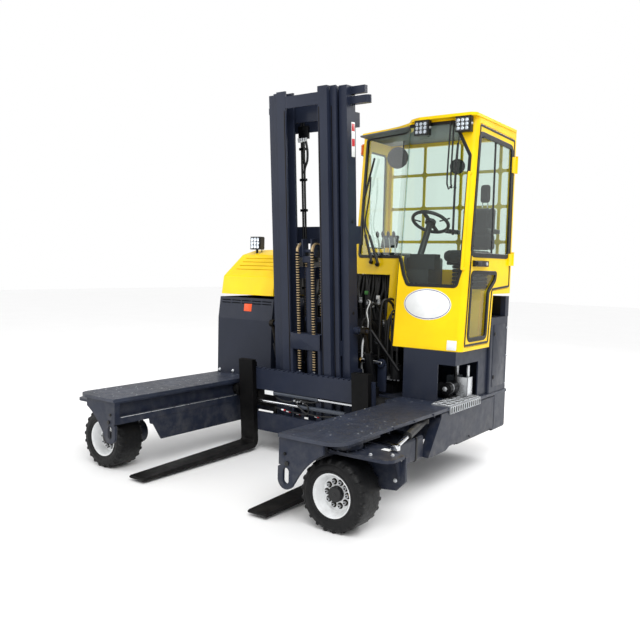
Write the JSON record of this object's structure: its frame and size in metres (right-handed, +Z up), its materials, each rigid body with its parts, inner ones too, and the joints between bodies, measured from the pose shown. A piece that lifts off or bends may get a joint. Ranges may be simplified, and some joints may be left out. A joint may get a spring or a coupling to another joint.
{
  "type": "multidirectional forklift",
  "caption": "Multidirectional side-loading forklift with a reaching telescopic mast between two legs, steered wheels, offset cab and engine house.",
  "frame": {"origin": "on the floor in the middle of the truck's length and width", "axes": "+X towards the cab side, -Y forward over the fork tips, +Z up"},
  "size_m": [2.928, 2.56, 2.9861],
  "materials": {
    "anthracite_paint": "satin blue-grey paint",
    "anti_slip_deck": "matt anti-slip paint",
    "grey_panel": "satin grey paint",
    "yellow_paint": "gloss yellow paint",
    "dark_paint": "satin black paint",
    "mast_paint": "satin blue-grey paint on rolled sections",
    "fork_black": "forge-black paint",
    "chrome_rod": "ground hard chrome",
    "chain_steel": "oiled leaf chain",
    "white_rim": "gloss white paint",
    "tyre_rubber": "matt black rubber",
    "zinc_step": "bare serrated tread",
    "tinted_glass": "pale green tinted glass",
    "seat_fabric": "black woven cloth",
    "black_plastic": "grained black plastic"
  },
  "bodies": {
    "chassis": {"decks": "anti_slip_deck", "legs": "anthracite_paint", "skirts": "anthracite_paint", "rear_crossframe": "anthracite_paint", "counterweight": "anthracite_paint", "fuel_tank": "anthracite_paint", "cab_pedestal": "anthracite_paint", "bay_fittings": "dark_paint", "side_locker": "anthracite_paint", "step_tread": "zinc_step", "engine_house": "grey_panel", "engine_block": "dark_paint", "hydraulic_tank": "dark_paint", "valve_bank": "dark_paint", "cab_shell": "yellow_paint", "cab_roof": "yellow_paint", "cab_glass": "tinted_glass", "seat": "seat_fabric", "steering_column": "black_plastic", "cab_lamps": "black_plastic"},
    "hood": {"engine_hood": "yellow_paint"},
    "door": {"cab_door": "yellow_paint", "door_glass": "tinted_glass"},
    "rear_yoke": {"rear_yoke": "anthracite_paint"},
    "rear_wheel": {"tyre_rear": "tyre_rubber", "rim_rear": "white_rim"},
    "reach_carriage": {"reach_carriage": "dark_paint"},
    "reach_sleeves": {"reach_sleeves": "dark_paint"},
    "mast_outer": {"mast_outer": "mast_paint"},
    "mast_middle": {"mast_middle": "mast_paint"},
    "mast_inner": {"mast_inner": "mast_paint", "lift_chain_rear": "chain_steel"},
    "lift_head": {"lift_head": "mast_paint", "lift_chain_front": "chain_steel"},
    "fork_carriage": {"fork_carriage": "mast_paint"},
    "fork_cab_side": {"fork_cab_side": "fork_black"},
    "fork_engine_side": {"fork_engine_side": "fork_black"},
    "tilt_barrels": {"tilt_barrels": "dark_paint"},
    "tilt_rods": {"tilt_rods": "chrome_rod"},
    "knuckle_cab_side": {"knuckle_cab_side": "anthracite_paint"},
    "front_wheel_cab_side": {"tyre_front_cab_side": "tyre_rubber", "rim_front_cab_side": "white_rim"},
    "steer_barrel_cab_side": {"steer_barrel_cab_side": "dark_paint"},
    "steer_rod_cab_side": {"steer_rod_cab_side": "chrome_rod"},
    "knuckle_engine_side": {"knuckle_engine_side": "anthracite_paint"},
    "front_wheel_engine_side": {"tyre_front_engine_side": "tyre_rubber", "rim_front_engine_side": "white_rim"},
    "steer_barrel_engine_side": {"steer_barrel_engine_side": "dark_paint"},
    "steer_rod_engine_side": {"steer_rod_engine_side": "chrome_rod"}
  },
  "joints": [
    {"name": "front_steer_cab_side", "type": "hinge", "parent": "chassis", "child": "knuckle_cab_side", "pos_m": [1.084, -0.995, 0.5], "axis": [0, 0, 1], "range_deg": [-10, 95]},
    {"name": "front_wheel_spin_cab_side", "type": "hinge", "parent": "knuckle_cab_side", "child": "front_wheel_cab_side", "pos_m": [1.084, -1.035, 0.2285], "axis": [0, 1, 0], "continuous": true},
    {"name": "steer_barrel_swing_cab_side", "type": "hinge", "parent": "chassis", "child": "steer_barrel_cab_side", "pos_m": [1.15, -0.09, 0.524], "axis": [0, 0, 1], "range_deg": [-32, 5]},
    {"name": "steer_rod_slide_cab_side", "type": "slide", "parent": "steer_barrel_cab_side", "child": "steer_rod_cab_side", "axis": [-0.2673, 0.9636, 0], "range_m": [-0.03, 0.26]},
    {"name": "front_steer_engine_side", "type": "hinge", "parent": "chassis", "child": "knuckle_engine_side", "pos_m": [-1.084, -0.995, 0.5], "axis": [0, 0, -1], "range_deg": [-10, 95]},
    {"name": "front_wheel_spin_engine_side", "type": "hinge", "parent": "knuckle_engine_side", "child": "front_wheel_engine_side", "pos_m": [-1.084, -1.035, 0.2285], "axis": [0, 1, 0], "continuous": true},
    {"name": "steer_barrel_swing_engine_side", "type": "hinge", "parent": "chassis", "child": "steer_barrel_engine_side", "pos_m": [-1.15, -0.09, 0.524], "axis": [0, 0, -1], "range_deg": [-32, 5]},
    {"name": "steer_rod_slide_engine_side", "type": "slide", "parent": "steer_barrel_engine_side", "child": "steer_rod_engine_side", "axis": [0.2673, 0.9636, 0], "range_m": [-0.03, 0.26]},
    {"name": "rear_steer", "type": "hinge", "parent": "chassis", "child": "rear_yoke", "pos_m": [0, 0.83, 0.5], "axis": [0, 0, 1], "range_deg": [-15, 105]},
    {"name": "rear_wheel_spin", "type": "hinge", "parent": "rear_yoke", "child": "rear_wheel", "pos_m": [0, 0.79, 0.2285], "axis": [0, 1, 0], "continuous": true},
    {"name": "hood_hinge", "type": "hinge", "parent": "chassis", "child": "hood", "pos_m": [-0.889, 1.258, 1.314], "axis": [-1, 0, 0], "range_deg": [0, 60]},
    {"name": "door_hinge", "type": "hinge", "parent": "chassis", "child": "door", "pos_m": [1.241, 1.257, 2], "axis": [0, 0, 1], "range_deg": [0, 90]},
    {"name": "reach", "type": "slide", "parent": "chassis", "child": "reach_carriage", "axis": [0, -1, 0], "range_m": [0, 1.1]},
    {"name": "reach_sleeve_slide", "type": "slide", "parent": "chassis", "child": "reach_sleeves", "axis": [0, -1, 0], "range_m": [0, 0.55]},
    {"name": "mast_tilt", "type": "hinge", "parent": "reach_carriage", "child": "mast_outer", "pos_m": [0, 0.19, 0.3], "axis": [-1, 0, 0], "range_deg": [0, 8]},
    {"name": "tilt_barrel_swing", "type": "hinge", "parent": "reach_carriage", "child": "tilt_barrels", "pos_m": [0, 0.322, 0.61], "axis": [-1, 0, 0], "range_deg": [0, 12.6]},
    {"name": "tilt_rod_slide", "type": "slide", "parent": "tilt_barrels", "child": "tilt_rods", "axis": [0, 0.3066, -0.9518], "range_m": [0, 0.0275]},
    {"name": "lift", "type": "slide", "parent": "mast_outer", "child": "mast_middle", "axis": [0, -0.0698, 0.9976], "range_m": [0, 1.9]},
    {"name": "inner_stage_slide", "type": "slide", "parent": "mast_middle", "child": "mast_inner", "axis": [0, -0.0698, 0.9976], "range_m": [0, 1.9]},
    {"name": "free_lift", "type": "slide", "parent": "mast_inner", "child": "fork_carriage", "axis": [0, -0.0698, 0.9976], "range_m": [0, 1.05], "deforming": ["lift_chain_front", "lift_chain_rear"]},
    {"name": "lift_head_slide", "type": "slide", "parent": "mast_inner", "child": "lift_head", "axis": [0, -0.0698, 0.9976], "range_m": [0, 0.525]},
    {"name": "fork_shift_cab_side", "type": "slide", "parent": "fork_carriage", "child": "fork_cab_side", "axis": [-1, 0, 0], "range_m": [0, 0.3]},
    {"name": "fork_shift_engine_side", "type": "slide", "parent": "fork_carriage", "child": "fork_engine_side", "axis": [1, 0, 0], "range_m": [0, 0.3]}
  ],
  "couplings": [
    {"joint": "steer_barrel_swing_cab_side", "follows": "front_steer_cab_side", "ratio": -0.32},
    {"joint": "steer_rod_slide_cab_side", "follows": "front_steer_cab_side", "m_per_rad": 0.15},
    {"joint": "steer_barrel_swing_engine_side", "follows": "front_steer_engine_side", "ratio": -0.32},
    {"joint": "steer_rod_slide_engine_side", "follows": "front_steer_engine_side", "m_per_rad": 0.15},
    {"joint": "reach_sleeve_slide", "follows": "reach", "ratio": 0.5},
    {"joint": "tilt_barrel_swing", "follows": "mast_tilt", "ratio": 1.545},
    {"joint": "tilt_rod_slide", "follows": "mast_tilt", "m_per_rad": 0.1935},
    {"joint": "inner_stage_slide", "follows": "lift", "ratio": 1},
    {"joint": "lift_head_slide", "follows": "free_lift", "ratio": 0.5}
  ]
}
